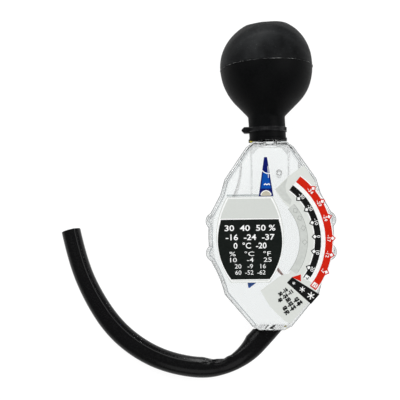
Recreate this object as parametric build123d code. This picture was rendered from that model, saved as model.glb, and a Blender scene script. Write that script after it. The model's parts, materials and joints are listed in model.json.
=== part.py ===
"""Antifreeze tester: clear two-part case, float and pointer, squeeze bulb and pick-up hose.

Lengths are in millimetres. The case frame has X across the case, Y along it towards the
bulb and Z out of the dial face, with its origin in the middle of the case. The finished
tester lies on its back, resting on the bulb and on the hose end of the case.
"""

from build123d import *
from math import asin, atan2, cos, degrees, hypot, pi, radians, sin, sqrt, tan
import os

# Case outline, in widths and in distances from its two ends
CASE_LENGTH = 100.6
CASE_DEPTH = 20.0
TOP_FLAT = 18.0
SHOULDER_WIDTH = 25.0
SHOULDER_DROP = 2.9
CHEEK_WIDTH = 48.8
CHEEK_DROP = 20.2
WAIST_WIDTH = 53.4
WAIST_DROP = 28.2
SIDE_TOP_WIDTH = 64.6
SIDE_TOP_DROP = 38.6
SIDE_WIDTH = 66.6
SIDE_FOOT_WIDTH = 63.4
SIDE_FOOT_RISE = 36.3
FLANK_WIDTH = 50.0
FLANK_RISE = 19.3
FLANK_BULGE = 0.7
TOE_WIDTH = 20.6
TOE_RISE = 1.9
BOTTOM_FLAT = 13.0

# Case mouldings
WALL = 2.0
FACE = 1.8
EDGE_ROUND = 1.0
GRIP_REACH = 1.4
GRIP_RADIUS = 4.6
GRIP_UPPER_DROP = 42.3
GRIP_LOWER_RISE = 41.2
RIB = 1.2

# Passage from the float chamber up to the bulb, and the pocket beside it
PASSAGE_WIDTH = 19.0
PASSAGE_MOUTH = 12.4
PASSAGE_CORNER = 3.8
PASSAGE_LENGTH = 27.0
POCKET_TOP_WIDTH = 30.2
POCKET_TOP_DROP = 8.9
POCKET_MID_WIDTH = 32.0
POCKET_MID_DROP = 20.6
POCKET_END_WIDTH = 45.0
POCKET_END_DROP = 34.8

# Locating peg that lines up the two shells
LOCATOR_X = 4.8
LOCATOR_DROP = 16.8
LOCATOR_PEG = 1.6
LOCATOR_BOSS = 3.4
LOCATOR_DEPTH = 3.0
LOCATOR_SHORT = 0.3

# Spout for the bulb
SPOUT_DIAMETER = 14.0
SPOUT_BORE = 8.0
SPOUT_LENGTH = 12.0
BARB_HEIGHT = 0.6
BARB_LENGTH = 3.2
SPOUT_PROUD = 0.5

# Squeeze bulb
BULB_DIAMETER = 50.1
BULB_RISE = 41.4
BULB_LOWER_RADIUS = 28.6
BULB_CONE_ANGLE = 46.0
BULB_WALL = 2.6
BULB_LEAN = 0.4
BULB_SHIFT = 0.95
BULB_FLAT = 11.2
SEAM_HEIGHT = 0.35
SEAM_WIDTH = 0.9
NECK_DIAMETER = 19.8
NECK_LIP = 0.5
NECK_LIP_LENGTH = 1.4
NECK_GAP = 0.1
NECK_FILLET = 2.5
NECK_LEDGE = 1.5

# Cable tie round the neck
TIE_RISE = 6.0
TIE_WIDTH = 2.4
TIE_THICKNESS = 1.0
TIE_SINK = 0.5
TIE_HEAD_LENGTH = 4.4
TIE_HEAD_WIDTH = 4.0
TIE_HEAD_DEPTH = 4.6
TIE_HEAD_CHAMFER = 1.2
TIE_TAIL = 1.4

# Hose, and the seat and the nipple at the foot of the case that hold its end
HOSE_DIAMETER = 11.0
HOSE_BORE = 6.4
HOSE_LIFT = 0.05
HOSE_SEAT = 0.6
HOSE_EXIT_X = -2.2
HOSE_EXIT_ANGLE = 41.5
HOSE_END_ROOM = 5.6
HOSE_EXIT_RUN = 4.9
HOSE_BLOCK_WIDTH = 15.0
HOSE_BLOCK_ROOF = 2.4
HOSE_BLOCK_ROUND = 1.5
NIPPLE_LENGTH = 4.5
NIPPLE_BORE = 3.6
NIPPLE_CLEARANCE = 0.1

# Pivot of the float, measured from the middle of the case
PIVOT_X = -10.1
PIVOT_Y = -2.6
PIN_DIAMETER = 1.6
PIN_BOSS = 5.6
PIN_BOSS_HEIGHT = 1.8
PIN_SEAT = 1.0
PIVOT_CLEARANCE = 0.08
HUB_END_PLAY = 0.35

# Float: a flat hollow vane with a belly and a tail, and a pointer on its face
HUB_DIAMETER = 9.0
SNOUT_DIAMETER = 4.4
FLOAT_THICKNESS = 6.0
BELLY_DIAMETER = 14.0
BELLY_REACH = 13.0
BELLY_ANGLE = -76.0
TAIL_REACH = 24.8
TAIL_DIAMETER = 1.0
TAIL_ANGLE = -94.5
POINTER_REACH = 26.4
POINTER_ANGLE = -49.0
POINTER_ROOT = 4.0
POINTER_TIP = 0.9
POINTER_THICKNESS = 1.0
POINTER_RING = 7.6
POINTER_LAP = 0.5
WEIGHT_DIAMETER = 5.0
WEIGHT_REACH = 12.0
WEIGHT_ANGLE = -70.0
WEIGHT_SHORT = 0.6
WEIGHT_CLEARANCE = 0.03
FLOAT_TRAVEL = 109.0

# Stop posts, on the rear shell
STOP_DIAMETER = 2.0
STOP_REACH = 10.0
STOP_GAP = 0.3
STOP_SHORT = 0.6

# Printed labels on the front face
LABEL = 0.15
LABEL_MARGIN = 1.3
NAME_TOP_WIDTH = 24.6
NAME_SIDE_WIDTH = 36.0
NAME_FOOT_WIDTH = 20.6
NAME_HEIGHT = 45.6
NAME_X = -11.2
NAME_TOP_Y = 20.6
SCALE_INNER_RADIUS = 25.2
SCALE_UPPER_TAB = ((SCALE_INNER_RADIUS + 1.2, 42.0), (26.3, 49.4), (29.8, 65.2), (38.7, 60.1), (46.2, 56.1))
SCALE_LOWER_TAB = ((SCALE_INNER_RADIUS + 1.0, -42.5), (24.0, -50.9), (24.0, -57.2), (26.9, -81.2),
                   (36.1, -75.6), (39.9, -72.7), (46.4, -68.3))
ARROW_TIP_WIDTH = 1.4
ARROW_WIDTH = 6.8
ARROW_LENGTH = 21.0
ARROW_X = -2.0
LABEL_GAP = 0.2

# Values that follow from the ones above
TOP = CASE_LENGTH / 2
BOTTOM = -CASE_LENGTH / 2
HALF_DEPTH = CASE_DEPTH / 2
FLOOR = HALF_DEPTH - FACE
PIVOT = Vector(PIVOT_X, PIVOT_Y, 0)
BOSS_FACE = FLOOR - PIN_BOSS_HEIGHT
BULB_RADIUS = BULB_DIAMETER / 2
BULB_Y = TOP + BULB_RISE
SEAT_Y = BOTTOM + HOSE_SEAT
HOSE_HEIGHT = HOSE_DIAMETER / 2 + HOSE_LIFT


def polar(reach, angle):
    """Point at a distance and an angle in degrees from the pivot, in the case plane."""
    return PIVOT + Vector(reach * cos(radians(angle)), reach * sin(radians(angle)), 0)


def rod(radius, low, high, x=0.0, y=0.0):
    """Round rod along Z between two heights."""
    return Pos(x, y, low) * extrude(Circle(radius), high - low)


def turned(profile):
    """Solid turned about the Y axis from a profile in the XY plane."""
    return revolve(profile, Axis.Y)


def slab(outline, low, high):
    """Flat outline made solid between two heights."""
    return Pos(0, 0, low) * extrude(outline, high - low)


def case_outline():
    """Outline of the case without its finger grips."""
    cheek = (CHEEK_WIDTH / 2, TOP - CHEEK_DROP)
    waist = (WAIST_WIDTH / 2, TOP - WAIST_DROP)
    side_top = (SIDE_TOP_WIDTH / 2, TOP - SIDE_TOP_DROP)
    side_foot = (SIDE_FOOT_WIDTH / 2, BOTTOM + SIDE_FOOT_RISE)
    side_middle = (SIDE_WIDTH / 2, (side_top[1] + side_foot[1]) / 2)
    flank = (FLANK_WIDTH / 2, BOTTOM + FLANK_RISE)
    toe = (TOE_WIDTH / 2, BOTTOM + TOE_RISE)
    upper = Polyline(
        (0, TOP),
        (TOP_FLAT / 2, TOP),
        (SHOULDER_WIDTH / 2, TOP - SHOULDER_DROP),
        cheek,
        waist,
        side_top,
    )
    side = ThreePointArc(side_top, side_middle, side_foot)
    lower = SagittaArc(side_foot, flank, -FLANK_BULGE)
    foot = Polyline(flank, toe, (BOTTOM_FLAT / 2, BOTTOM), (0, BOTTOM))
    right = Curve() + upper + side + lower + foot
    return make_face(right.edges() + mirror(right, Plane.YZ).edges())


def grip_pads():
    """The two rounded finger grips on each side of the case."""
    reach = SIDE_WIDTH / 2 + GRIP_REACH - GRIP_RADIUS
    heights = (TOP - GRIP_UPPER_DROP, BOTTOM + GRIP_LOWER_RISE)
    return [Pos(side * reach, y) * Circle(GRIP_RADIUS) for side in (-1, 1) for y in heights]


def rounded_slab(outline):
    """Outline made solid up to the face of the case, with its front edge rounded."""
    body = extrude(outline, HALF_DEPTH)
    return fillet(body.edges().group_by(Axis.Z)[-1], EDGE_ROUND)


def tray():
    """Half of the case as a plain tray, open at Z = 0 and closed at the front."""
    outline = case_outline()
    body = rounded_slab(outline)
    for pad in grip_pads():
        body += rounded_slab(pad)
    cavity = offset(outline, amount=-WALL, kind=Kind.INTERSECTION)
    return body - extrude(cavity, FLOOR)


def passage_ribs():
    """Ribs that line the passage to the bulb, one on each side."""
    x = PASSAGE_WIDTH / 2
    top = TOP - WALL
    bend = top - PASSAGE_CORNER
    end = TOP - PASSAGE_LENGTH
    slant = hypot(x - PASSAGE_MOUTH / 2, PASSAGE_CORNER)
    run = RIB * (slant + x - PASSAGE_MOUTH / 2) / PASSAGE_CORNER
    right = Polyline(
        (PASSAGE_MOUTH / 2, top),
        (x, bend),
        (x, end),
        (x + RIB, end),
        (x + RIB, bend),
        (PASSAGE_MOUTH / 2 + run, top),
        close=True,
    )
    rib = slab(make_face(right), 0, FLOOR)
    return rib + mirror(rib, Plane.YZ)


def pocket_ribs():
    """Curved ribs that close a pocket beside the passage, one on each side."""
    inner = ThreePointArc(
        (POCKET_TOP_WIDTH / 2, TOP - POCKET_TOP_DROP),
        (POCKET_MID_WIDTH / 2, TOP - POCKET_MID_DROP),
        (POCKET_END_WIDTH / 2, TOP - POCKET_END_DROP),
    )
    outer = ThreePointArc(
        (POCKET_TOP_WIDTH / 2 + RIB, TOP - POCKET_TOP_DROP),
        (POCKET_MID_WIDTH / 2 + RIB, TOP - POCKET_MID_DROP),
        (POCKET_END_WIDTH / 2 + RIB, TOP - POCKET_END_DROP),
    )
    head = Line(inner @ 0, outer @ 0)
    foot = Line(inner @ 1, outer @ 1)
    rib = slab(make_face(Curve() + inner + outer + head + foot), 0, FLOOR)
    return rib + mirror(rib, Plane.YZ)


def hose_block():
    """Block inside the foot of the case, behind the seat of the hose."""
    height = HOSE_SEAT + HOSE_BLOCK_ROOF
    block = Pos(0, BOTTOM + height / 2) * Rectangle(HOSE_BLOCK_WIDTH, height)
    block = fillet(block.vertices().group_by(Axis.Y)[-1], HOSE_BLOCK_ROUND)
    inside = extrude(case_outline(), HALF_DEPTH)
    return slab(block, 0, FLOOR + FACE / 2) & inside


def spout_outline():
    """Outside of the spout that the bulb is pushed over, as a solid of its own."""
    radius = SPOUT_DIAMETER / 2
    end = TOP + SPOUT_LENGTH
    profile = Polyline(
        (0, TOP - WALL / 2),
        (radius, TOP - WALL / 2),
        (radius, end - BARB_LENGTH),
        (radius + BARB_HEIGHT, end - BARB_LENGTH),
        (radius, end),
        (0, end),
        close=True,
    )
    return turned(make_face(profile))


def along_y(radius, low, high):
    """Round rod on the middle line of the case between two places along it."""
    return Pos(0, high, 0) * Rot(90, 0, 0) * extrude(Circle(radius), high - low)


def halved(solid):
    """The half of a solid that lies on the dial side of the middle plane."""
    size = 2 * CASE_LENGTH
    return solid & Pos(0, 0, size / 2) * Box(size, 2 * size, size)


def half_case():
    """What both shells have in common, drawn for the front one."""
    shell = tray() + passage_ribs() + pocket_ribs() + hose_block()
    shell += halved(spout_outline())
    shell += rod(PIN_BOSS / 2, BOSS_FACE, FLOOR + FACE / 2, PIVOT_X, PIVOT_Y)
    shell -= rod(PIN_DIAMETER / 2, 0, FLOOR + PIN_SEAT, PIVOT_X, PIVOT_Y)
    shell -= along_y(SPOUT_BORE / 2, TOP - 2 * WALL, TOP + 2 * SPOUT_LENGTH)
    return shell


def hose_exit(reach):
    """Point on the hose's axis at the foot of the case, at a distance beyond its seat."""
    angle = radians(HOSE_EXIT_ANGLE)
    return Vector(HOSE_EXIT_X - reach * sin(angle), SEAT_Y - reach * cos(angle), 0)


def along_exit(radius, low, high):
    """Round rod on the hose's axis at the foot of the case between two places along it."""
    start = hose_exit(low)
    return Plane(start, z_dir=hose_exit(high) - start) * extrude(Circle(radius), high - low)


def above_seat():
    """Block that fills the space on the case's side of the seat of the hose."""
    size = 4 * HOSE_DIAMETER
    return Pos(0, SEAT_Y + size / 2, 0) * Box(size, size, size)


def nipple():
    """Nipple of the case that the end of the hose is pushed over, not yet bored."""
    whole = along_exit(HOSE_BORE / 2 - NIPPLE_CLEARANCE, -HOSE_END_ROOM, NIPPLE_LENGTH)
    return whole - Pos(0, HOSE_BLOCK_ROOF / 2, 0) * above_seat()


def with_nipple(shell, hose_end, side):
    """Shell with the hose's end cut out of it, and with its half of the nipple in the hose."""
    half = halved(nipple())
    if side < 0:
        half = mirror(half, Plane.XY)
    return shell - hose_end + half - along_exit(NIPPLE_BORE / 2, -2 * HOSE_END_ROOM, 2 * NIPPLE_LENGTH)


def front_shell():
    """Clear front shell, with the socket of the locating peg."""
    x, y = LOCATOR_X, TOP - LOCATOR_DROP
    shell = half_case() + rod(LOCATOR_BOSS / 2, 0, FLOOR + FACE / 2, x, y)
    return shell - rod(LOCATOR_PEG / 2, 0, LOCATOR_DEPTH, x, y)


def stop_angle(side):
    """Angle of a stop post, so that the vane's edge comes to it at one end of the travel."""
    hub, belly, reach = HUB_DIAMETER / 2, BELLY_DIAMETER / 2, BELLY_REACH
    flare = degrees(asin((belly - hub) / reach))
    clear = degrees(asin((hub + STOP_DIAMETER / 2 + STOP_GAP) / STOP_REACH))
    rest = BELLY_ANGLE if side < 0 else BELLY_ANGLE + FLOAT_TRAVEL
    return rest + side * (flare + clear)


def rear_shell():
    """Clear rear shell, with the locating peg and the two stop posts."""
    x, y = LOCATOR_X, TOP - LOCATOR_DROP
    shell = mirror(half_case(), Plane.XY)
    shell += rod(LOCATOR_BOSS / 2, -FLOOR - FACE / 2, 0, x, y)
    shell += rod(LOCATOR_PEG / 2, 0, LOCATOR_DEPTH - LOCATOR_SHORT, x, y)
    for side in (-1, 1):
        post = polar(STOP_REACH, stop_angle(side))
        high = FLOAT_THICKNESS / 2 - STOP_SHORT
        shell += rod(STOP_DIAMETER / 2, -FLOOR - FACE / 2, high, post.X, post.Y)
    return shell


def bulb_section(wall, neck):
    """Half section of the bulb, drawn in by a wall, down to a neck of a given radius."""
    radius = BULB_RADIUS - wall
    lower = BULB_LOWER_RADIUS - wall
    shift = BULB_LOWER_RADIUS - BULB_RADIUS
    cone = radians(BULB_CONE_ANGLE)
    flat = BULB_FLAT / 2
    crown = BULB_Y + sqrt(BULB_RADIUS**2 - flat**2) - wall
    edge = sqrt(radius**2 - (crown - BULB_Y) ** 2)
    turn = radians(45)
    half = cone / 2
    tail = (lower * cos(cone) - shift, BULB_Y - lower * sin(cone))
    corner = tail[1] - (tail[0] - neck) / tan(cone)
    upper = ThreePointArc(
        (edge, crown),
        (radius * cos(turn), BULB_Y + radius * sin(turn)),
        (radius, BULB_Y),
    )
    belly = ThreePointArc(
        (radius, BULB_Y),
        (lower * cos(half) - shift, BULB_Y - lower * sin(half)),
        tail,
    )
    return Curve() + Line((0, crown), (edge, crown)) + upper + belly + Line(tail, (neck, corner)), corner


def rubber_bulb():
    """Hollow squeeze bulb with its neck, moulding seam and the flat on its crown."""
    neck = NECK_DIAMETER / 2
    lip = neck + NECK_LIP
    foot = TOP + NECK_GAP + lip * tan(radians(BULB_LEAN))
    lip_top = foot + NECK_LIP_LENGTH
    groove_low = TOP + TIE_RISE - TIE_WIDTH / 2
    groove_high = groove_low + TIE_WIDTH
    edges, corner = bulb_section(0, neck)
    stem = Polyline(
        (neck, corner),
        (neck, groove_high),
        (neck - TIE_SINK, groove_high),
        (neck - TIE_SINK, groove_low),
        (neck, groove_low),
        (neck, lip_top),
        (lip, lip_top),
        (lip, foot),
        (0, foot),
        (0, BULB_Y + sqrt(BULB_RADIUS**2 - (BULB_FLAT / 2) ** 2)),
    )
    outside = make_face(edges + stem)
    outside = fillet(outside.vertices().sort_by_distance((neck, corner, 0))[0], NECK_FILLET)
    seam = Polyline(
        (BULB_RADIUS - SEAM_HEIGHT, BULB_Y - SEAM_WIDTH / 2),
        (BULB_RADIUS + SEAM_HEIGHT, BULB_Y - SEAM_WIDTH / 6),
        (BULB_RADIUS + SEAM_HEIGHT, BULB_Y + SEAM_WIDTH / 6),
        (BULB_RADIUS - SEAM_HEIGHT, BULB_Y + SEAM_WIDTH / 2),
        close=True,
    )
    well = SPOUT_BORE / 2 + NECK_LEDGE
    cavity, throat = bulb_section(BULB_WALL, well)
    floor = TOP + SPOUT_LENGTH - SPOUT_PROUD
    bore = Polyline((well, throat), (well, floor), (0, floor))
    crown = (0, BULB_Y + sqrt(BULB_RADIUS**2 - (BULB_FLAT / 2) ** 2) - BULB_WALL)
    cavity = make_face(cavity + bore + Line((0, floor), crown))
    bulb = turned(outside) + turned(make_face(seam)) - turned(cavity)
    return leaned(bulb) - spout_outline()


def leaned(solid):
    """A piece on the bulb's axis, leaned and drawn aside with the soft neck, towards the tie's head."""
    return Pos(-BULB_SHIFT, TOP, 0) * Rot(0, 0, BULB_LEAN) * Pos(0, -TOP, 0) * solid


def cable_tie():
    """Cable tie in the groove of the neck, with its ratchet head and cut tail."""
    inner = NECK_DIAMETER / 2 - TIE_SINK
    outer = inner + TIE_THICKNESS
    low = TOP + TIE_RISE - TIE_WIDTH / 2
    strap = along_y(outer, low, low + TIE_WIDTH)
    head_centre = -(NECK_DIAMETER / 2 + TIE_HEAD_LENGTH / 2)
    head = Box(TIE_HEAD_LENGTH, TIE_HEAD_WIDTH, TIE_HEAD_DEPTH)
    head = chamfer(head.edges().filter_by(Axis.Z).group_by(Axis.X)[0], TIE_HEAD_CHAMFER)
    tail = Box(TIE_THICKNESS, TIE_WIDTH, TIE_HEAD_DEPTH + 2 * TIE_TAIL)
    tie = strap + Pos(head_centre, TOP + TIE_RISE, 0) * head
    tie += Pos(head_centre, TOP + TIE_RISE, TIE_TAIL / 2) * tail
    return leaned(tie - along_y(inner, low - TIE_HEAD_WIDTH, low + 2 * TIE_HEAD_WIDTH))


def vane_outline():
    """Outline of the float at rest: hub, belly and pointed tail drawn round by one line."""
    belly = polar(BELLY_REACH, BELLY_ANGLE)
    tail = polar(TAIL_REACH, TAIL_ANGLE)
    rounds = Sketch() + Pos(PIVOT) * Circle(HUB_DIAMETER / 2)
    rounds += Pos(belly) * Circle(BELLY_DIAMETER / 2)
    rounds += Pos(tail) * Circle(TAIL_DIAMETER / 2)
    hub_to_belly = banded(PIVOT, HUB_DIAMETER / 2, belly, BELLY_DIAMETER / 2)
    belly_to_tail = banded(belly, BELLY_DIAMETER / 2, tail, TAIL_DIAMETER / 2)
    return rounds + hub_to_belly + belly_to_tail


def banded(start, start_radius, end, end_radius):
    """The quadrilateral between the outer tangents of two circles."""
    gap = end - start
    heading = degrees(atan2(gap.Y, gap.X))
    spread = degrees(asin((start_radius - end_radius) / gap.length))
    corners = []
    for centre, radius, side in (
        (start, start_radius, 1),
        (end, end_radius, 1),
        (end, end_radius, -1),
        (start, start_radius, -1),
    ):
        angle = radians(heading + side * (90 - spread))
        corners.append(centre + Vector(radius * cos(angle), radius * sin(angle), 0))
    return make_face(Polyline(*corners, close=True))


def hub_length():
    """Half length of the float's hub, from the middle plane to its end face."""
    return BOSS_FACE - HUB_END_PLAY


def float_vane():
    """Moulded float with its hub, bored for the pin and for the balance weight."""
    half = FLOAT_THICKNESS / 2
    vane = slab(vane_outline(), -half, half)
    vane += rod(SNOUT_DIAMETER / 2, -hub_length(), hub_length(), PIVOT_X, PIVOT_Y)
    seat = polar(WEIGHT_REACH, WEIGHT_ANGLE)
    vane -= rod(WEIGHT_DIAMETER / 2 + WEIGHT_CLEARANCE, -half + WEIGHT_SHORT, half, seat.X, seat.Y)
    bore = PIN_DIAMETER / 2 + PIVOT_CLEARANCE
    return vane - rod(bore, -HALF_DEPTH, HALF_DEPTH, PIVOT_X, PIVOT_Y)


def balance_weight():
    """Round weight in its pocket in the float, flush with the float's face."""
    half = FLOAT_THICKNESS / 2
    seat = polar(WEIGHT_REACH, WEIGHT_ANGLE)
    return rod(WEIGHT_DIAMETER / 2, -half + WEIGHT_SHORT, half, seat.X, seat.Y)


def pointer():
    """Flat pointer on the float's face, held by its ring round the hub's snout."""
    half = FLOAT_THICKNESS / 2
    root = polar(POINTER_RING / 2 - POINTER_LAP, POINTER_ANGLE)
    tip = polar(POINTER_REACH - POINTER_TIP / 2, POINTER_ANGLE)
    blade = Pos(PIVOT) * Circle(POINTER_RING / 2) + Pos(tip) * Circle(POINTER_TIP / 2)
    blade += banded(root, POINTER_ROOT / 2, tip, POINTER_TIP / 2)
    arm = slab(blade, half, half + POINTER_THICKNESS)
    return arm - rod(SNOUT_DIAMETER / 2 + WEIGHT_CLEARANCE, 0, HALF_DEPTH, PIVOT_X, PIVOT_Y)


def pivot_pin():
    """Steel pin, its two ends in the bosses of the shells."""
    end = FLOOR + PIN_SEAT
    pin = rod(PIN_DIAMETER / 2, -end, end, PIVOT_X, PIVOT_Y)
    return chamfer(pin.edges().filter_by(GeomType.CIRCLE), PIN_DIAMETER / 10)


def on_face(outline):
    """Label of a given outline on the front face, kept in from the edge of the case."""
    room = offset(case_outline(), amount=-LABEL_MARGIN, kind=Kind.INTERSECTION)
    return slab(outline & room, HALF_DEPTH, HALF_DEPTH + LABEL)


def name_label():
    """Barrel-shaped label on the front face."""
    top, foot = NAME_TOP_Y, NAME_TOP_Y - NAME_HEIGHT
    middle = (top + foot) / 2
    right = ThreePointArc(
        (NAME_X + NAME_TOP_WIDTH / 2, top),
        (NAME_X + NAME_SIDE_WIDTH / 2, middle),
        (NAME_X + NAME_FOOT_WIDTH / 2, foot),
    )
    left = ThreePointArc(
        (NAME_X - NAME_TOP_WIDTH / 2, top),
        (NAME_X - NAME_SIDE_WIDTH / 2, middle),
        (NAME_X - NAME_FOOT_WIDTH / 2, foot),
    )
    return on_face(make_face(Curve() + right + left + Line(left @ 0, right @ 0) + Line(left @ 1, right @ 1)))


def scale_label():
    """Crescent label that carries the scale, drawn about the pivot and cut to the case."""
    upper = [polar(reach, angle) for reach, angle in SCALE_UPPER_TAB]
    lower = [polar(reach, angle) for reach, angle in SCALE_LOWER_TAB]
    low, high = SCALE_LOWER_TAB[0][1], SCALE_UPPER_TAB[0][1]
    inner = ThreePointArc(lower[0], polar(SCALE_INNER_RADIUS, (low + high) / 2), upper[0])
    far = [polar(CASE_LENGTH, angle) for angle in (high, 0, low)]
    rest = Polyline(*upper, *far, *reversed(lower))
    return on_face(make_face(Curve() + inner + rest))


def level_label():
    """Arrow label that marks how high the tester is filled."""
    foot = NAME_TOP_Y + LABEL_GAP
    tip = foot + ARROW_LENGTH
    arrow = Polyline(
        (ARROW_X - ARROW_WIDTH / 2, foot),
        (ARROW_X + ARROW_WIDTH / 2, foot),
        (ARROW_X + ARROW_TIP_WIDTH / 2, tip),
        (ARROW_X - ARROW_TIP_WIDTH / 2, tip),
        close=True,
    )
    return on_face(make_face(arrow))


def resting_angle():
    """Tilt of the case in degrees, with its foot and the seam of the bulb on the ground."""
    reach = BULB_Y + TOP - EDGE_ROUND
    drop = HALF_DEPTH - EDGE_ROUND - BULB_RADIUS - SEAM_HEIGHT
    return degrees(asin(-EDGE_ROUND / hypot(reach, drop)) - atan2(drop, reach))


def resting_place(pieces):
    """Location that lays the tester down with the middle of its box at the origin."""
    tilt = Rot(resting_angle(), 0, 0)
    box = Compound(children=[tilt * piece for piece in pieces]).bounding_box()
    return Pos(0, -(box.min.Y + box.max.Y) / 2, -box.min.Z) * tilt


def hose_points(place):
    """Corner points of the hose's route, from behind its seat in the case to its free end."""
    inside = [hose_exit(-HOSE_END_ROOM), hose_exit(HOSE_EXIT_RUN)]
    outside = [
        (-13.4, -91.95, 8.5),
        (-24.1, -97.3, 6.9),
        (-35.7, -101.0, HOSE_HEIGHT),
        (-55.35, -97.8, HOSE_HEIGHT),
        (-71.6, -90.35, HOSE_HEIGHT),
        (-86.0, -78.3, HOSE_HEIGHT),
        (-97.55, -60.9, HOSE_HEIGHT),
        (-105.8, -41.95, HOSE_HEIGHT),
        (-109.75, -24.9, HOSE_HEIGHT),
    ]
    return [(place * Pos(point)).position for point in inside] + [Vector(point) for point in outside]


def bend_radii(points):
    """Radius of the bend at each corner, as large as its two runs allow."""
    radii = []
    for before, here, after in zip(points, points[1:], points[2:]):
        run = min((here - before).length, (after - here).length)
        turn = radians((here - before).get_angle(after - here))
        radii.append(0.45 * run / tan(turn / 2))
    return radii


def hose(place, bore):
    """The hose along its route, solid or bored, cut flat at its seat in the case."""
    points = hose_points(place)
    path = FilletPolyline(*points, radius=bend_radii(points))
    start = Plane(points[0], z_dir=points[1] - points[0])
    section = Circle(HOSE_DIAMETER / 2)
    if bore:
        section -= Circle(HOSE_BORE / 2)
    return sweep(start * section, path=path) - place * above_seat(), path


def main():
    os.makedirs("parts", exist_ok=True)
    front, rear, bulb = front_shell(), rear_shell(), rubber_bulb()
    place = resting_place([front, rear, bulb, nipple()])
    solid_hose, path = hose(place, bore=False)
    hose_end = place.inverse() * solid_hose
    pieces = {
        "front_shell": with_nipple(front, hose_end, 1),
        "rear_shell": with_nipple(rear, hose_end, -1),
        "rubber_bulb": bulb,
        "cable_tie": cable_tie(),
        "pivot_pin": pivot_pin(),
        "float_vane": float_vane(),
        "balance_weight": balance_weight(),
        "pointer": pointer(),
        "name_label": name_label(),
        "scale_label": scale_label(),
        "level_label": level_label(),
    }
    placed = {name: place * piece for name, piece in pieces.items()}
    placed["hose"], _ = hose(place, bore=True)
    for name, piece in placed.items():
        piece.label = name
        export_step(piece, f"parts/{name}.step")
        print(name, len(piece.solids()), round(piece.volume))
    section = (HOSE_DIAMETER**2 - HOSE_BORE**2) / 4 * pi
    length = path.length - HOSE_END_ROOM
    print("hose length", round(length, 2), "volume over section", round(placed["hose"].volume / section, 2))
    print("hose radii", [round(r, 1) for r in bend_radii(hose_points(place))])
    print("tilt", round(resting_angle(), 3), "place", place.position, place.orientation)


main()
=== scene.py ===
"""Looks of the antifreeze tester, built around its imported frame.

Sizes are in millimetres in the frame of the case: X across it, Y towards the bulb and Z out
of the dial face, with the origin in its middle. The case lies tilted on the ground, so every
piece but the hose is modelled in that frame and then laid down where the float's joint says
the case is.
"""

import json
import logging
import math
from dataclasses import dataclass
from enum import Enum

import bmesh
import bpy
from bmesh.types import BMEdge, BMesh, BMVert
from bpy.types import Material, Node, NodeOutputs, NodeSocket, NodeTree, Object, ShaderNodeTree
from mathutils import Matrix, Vector, noise


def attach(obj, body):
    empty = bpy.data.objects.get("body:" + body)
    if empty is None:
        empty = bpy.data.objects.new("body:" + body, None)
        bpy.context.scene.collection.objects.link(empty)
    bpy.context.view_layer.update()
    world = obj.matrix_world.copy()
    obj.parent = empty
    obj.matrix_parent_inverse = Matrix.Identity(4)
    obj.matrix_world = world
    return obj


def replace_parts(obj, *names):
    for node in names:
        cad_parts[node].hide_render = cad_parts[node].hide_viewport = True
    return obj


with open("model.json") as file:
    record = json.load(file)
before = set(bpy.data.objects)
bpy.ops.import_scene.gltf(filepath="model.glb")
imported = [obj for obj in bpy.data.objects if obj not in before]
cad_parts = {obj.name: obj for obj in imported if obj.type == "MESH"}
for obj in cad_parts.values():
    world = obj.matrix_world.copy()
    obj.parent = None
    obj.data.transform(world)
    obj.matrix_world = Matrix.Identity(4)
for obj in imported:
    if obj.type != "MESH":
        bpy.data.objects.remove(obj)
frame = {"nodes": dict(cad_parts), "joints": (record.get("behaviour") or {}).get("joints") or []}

MM = 0.001
LOG = logging.getLogger("tester")
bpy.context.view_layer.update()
PIVOT = Vector((-10.1, -2.6, 0.0))
FACE = 10.0
LABEL = 0.15
SURFACE = FACE + LABEL
MERGE = 0.001
SHARP = math.radians(40)
UP = Vector((0, 0, 1))


def case_matrix() -> Matrix:
    """Places the case frame, in millimetres, in the row's frame, in metres.

    Returns:
        The matrix that lays down a piece modelled in the case frame.
    """
    joint = frame["joints"][0]
    axis = Vector(joint["axis"])
    turn = Matrix.Rotation(math.atan2(-axis.y, axis.z), 4, "X")
    shift = Vector(joint["pos_m"]) - turn @ (PIVOT * MM)
    return Matrix.Translation(shift) @ turn @ Matrix.Scale(MM, 4)


CASE = case_matrix()
ALONG_CASE = CASE.to_3x3().col[1].normalized()


class Ink(Enum):
    """Colours of the printing on the labels."""

    BLACK = (0.006, 0.0065, 0.0065)
    PANEL = (0.0062, 0.0086, 0.0072)
    WHITE = (0.9, 0.91, 0.9)
    RED = (0.6, 0.014, 0.003)
    NAVY = (0.002, 0.006, 0.12)
    ROYAL = (0.0015, 0.07, 0.38)
    BAND = (0.585, 0.608, 0.58)
    HAIRLINE = (0.33, 0.345, 0.33)
    BEIGE = (0.52, 0.49, 0.39)


# Node groups and materials

GRAIN_BOUNDS = (0.38, 0.62)
DOT_BOUNDS = (0.16, 0.04)
CLOUD_BOUNDS = (0.42, 0.8)
CLOUD_SHARE = 0.35
MIX_COLOURS = (6, 7)
MIX_RESULT = 2
INK_SPREAD = 1.08
INK_LIFT = 0.002


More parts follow.
